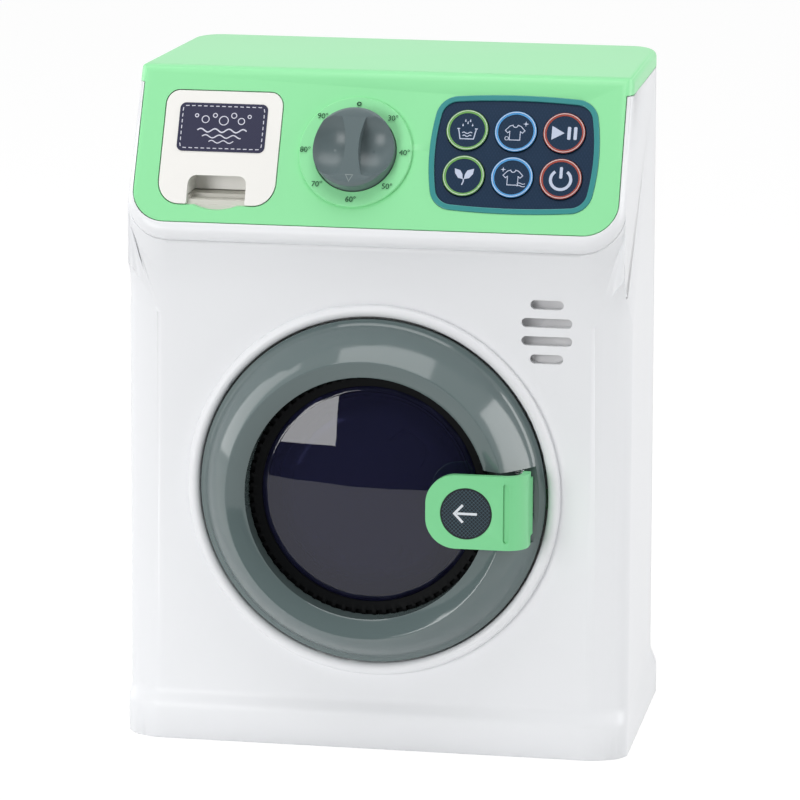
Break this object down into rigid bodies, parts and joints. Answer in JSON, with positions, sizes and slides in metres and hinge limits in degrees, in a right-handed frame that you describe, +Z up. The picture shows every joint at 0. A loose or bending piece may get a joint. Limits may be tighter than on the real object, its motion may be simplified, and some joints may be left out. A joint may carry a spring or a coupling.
{
  "type": "toy washing machine",
  "caption": "Toy front-loading washing machine with a hinged round door, turning drum, soap drawer, dial and push buttons in a white and green plastic case.",
  "frame": {"origin": "middle of the whole object's outline on the surface it stands on", "axes": "+X to the right as seen from the front; +Y from front to back; +Z up"},
  "size_m": [0.2144, 0.1525, 0.285],
  "materials": {
    "case_white": "satin moulded plastic",
    "inner_white": "plain moulded plastic",
    "mint_green": "satin moulded plastic",
    "navy_print": "printed sheet",
    "teal_rim": "smooth",
    "button_green": "printed cap",
    "button_blue": "printed cap",
    "button_red": "printed cap",
    "grey_plastic": "satin moulded plastic",
    "ring_grey": "smooth moulded plastic",
    "handle_green": "satin moulded plastic",
    "black_plastic": "fine grain",
    "dark_plastic": "fine grain",
    "window_smoke": "clear smoked plastic",
    "label_print": "printed patch",
    "drum_grey": "smooth moulded plastic",
    "gear_ivory": "moulded plastic",
    "board_green": "lacquered board",
    "mat_rubber": "silicone",
    "steel": "bright",
    "brass": "turned",
    "cell_wrap": "plain sleeve",
    "paper_cone": "paper",
    "wire_red": "sleeve",
    "wire_grey": "sleeve",
    "wire_black": "sleeve"
  },
  "bodies": {
    "case": {"front_shell": "case_white", "rear_shell": "case_white", "base_plate": "case_white", "control_panel": "mint_green", "keypad_rim": "teal_rim", "keypad_sheet": "navy_print", "key_mat": "mat_rubber", "main_board": "board_green", "dial_encoder": "dark_plastic", "drawer_housing": "inner_white", "speaker_frame": "steel", "speaker_cone": "paper_cone", "hinge_bracket": "inner_white", "hinge_pin": "steel", "tub_front": "inner_white", "shaft_bushes": "brass", "gear_frame": "inner_white", "idler_axle": "steel", "motor": "steel", "gear_cover": "inner_white", "battery_box": "inner_white", "battery_cells": "cell_wrap", "battery_springs": "steel", "battery_cover": "case_white", "cover_screw": "steel", "power_switch": "dark_plastic", "shell_screws": "steel", "base_screws": "steel", "panel_screws": "steel", "drive_screws": "steel", "battery_lead": "wire_red", "motor_lead": "wire_grey", "speaker_lead": "wire_black"},
    "door": {"door_ring": "ring_grey", "door_inner_ring": "black_plastic", "door_window": "window_smoke", "door_back": "dark_plastic", "latch_pin": "steel", "latch_spring": "steel"},
    "latch_handle": {"door_handle": "handle_green", "handle_badge": "navy_print"},
    "dial": {"knob": "grey_plastic", "knob_spindle": "steel"},
    "drawer": {"drawer_tray": "case_white", "drawer_label": "label_print"},
    "drum_unit": {"drum": "drum_grey", "drum_shaft": "steel", "drum_gear": "gear_ivory"},
    "idler": {"idler_gear": "gear_ivory"},
    "pinion": {"motor_pinion": "brass"},
    "soak_key": {"button_soak": "button_green"},
    "shirt_key": {"button_shirt": "button_blue"},
    "play_key": {"button_play": "button_red"},
    "leaf_key": {"button_leaf": "button_green"},
    "fresh_key": {"button_fresh": "button_blue"},
    "power_key": {"button_power": "button_red"},
    "slide_switch": {"switch_slider": "black_plastic"}
  },
  "joints": [
    {"name": "door_hinge", "type": "hinge", "parent": "case", "child": "door", "pos_m": [-0.063, -0.05455, 0.1115], "axis": [0, 0, -1], "range_deg": [0, 90]},
    {"name": "latch_pivot", "type": "hinge", "parent": "door", "child": "latch_handle", "pos_m": [0.063, -0.05905, 0.1099], "axis": [0, 0, 1], "range_deg": [0, 12], "stiffness_Nm_per_rad": 0.25, "springref_deg": -14.32},
    {"name": "dial_turn", "type": "hinge", "parent": "case", "child": "dial", "pos_m": [-0.0092, -0.04403, 0.25274], "axis": [0, -0.8926, 0.4509], "continuous": true},
    {"name": "drawer_slide", "type": "slide", "parent": "case", "child": "drawer", "axis": [0, -1, 0], "range_m": [0, 0.036]},
    {"name": "drum_spin", "type": "hinge", "parent": "case", "child": "drum_unit", "pos_m": [0, -0.00655, 0.1115], "axis": [0, 1, 0], "continuous": true},
    {"name": "idler_spin", "type": "hinge", "parent": "case", "child": "idler", "pos_m": [0, 0.03345, 0.0875], "axis": [0, 1, 0], "continuous": true},
    {"name": "motor_spin", "type": "hinge", "parent": "case", "child": "pinion", "pos_m": [0.024, 0.03945, 0.0875], "axis": [0, 1, 0], "continuous": true},
    {"name": "soak_press", "type": "slide", "parent": "case", "child": "soak_key", "axis": [0, 0.8926, -0.4509], "range_m": [0, 0.0008], "stiffness_N_per_m": 400, "springref_m": -0.0006},
    {"name": "shirt_press", "type": "slide", "parent": "case", "child": "shirt_key", "axis": [0, 0.8926, -0.4509], "range_m": [0, 0.0008], "stiffness_N_per_m": 400, "springref_m": -0.0006},
    {"name": "play_press", "type": "slide", "parent": "case", "child": "play_key", "axis": [0, 0.8926, -0.4509], "range_m": [0, 0.0008], "stiffness_N_per_m": 400, "springref_m": -0.0006},
    {"name": "leaf_press", "type": "slide", "parent": "case", "child": "leaf_key", "axis": [0, 0.8926, -0.4509], "range_m": [0, 0.0008], "stiffness_N_per_m": 400, "springref_m": -0.0006},
    {"name": "fresh_press", "type": "slide", "parent": "case", "child": "fresh_key", "axis": [0, 0.8926, -0.4509], "range_m": [0, 0.0008], "stiffness_N_per_m": 400, "springref_m": -0.0006},
    {"name": "power_press", "type": "slide", "parent": "case", "child": "power_key", "axis": [0, 0.8926, -0.4509], "range_m": [0, 0.0008], "stiffness_N_per_m": 400, "springref_m": -0.0006},
    {"name": "power_slide", "type": "slide", "parent": "case", "child": "slide_switch", "axis": [1, 0, 0], "range_m": [0, 0.004]}
  ],
  "couplings": [
    {"joint": "idler_spin", "follows": "drum_spin", "ratio": -3},
    {"joint": "motor_spin", "follows": "drum_spin", "ratio": 9}
  ]
}
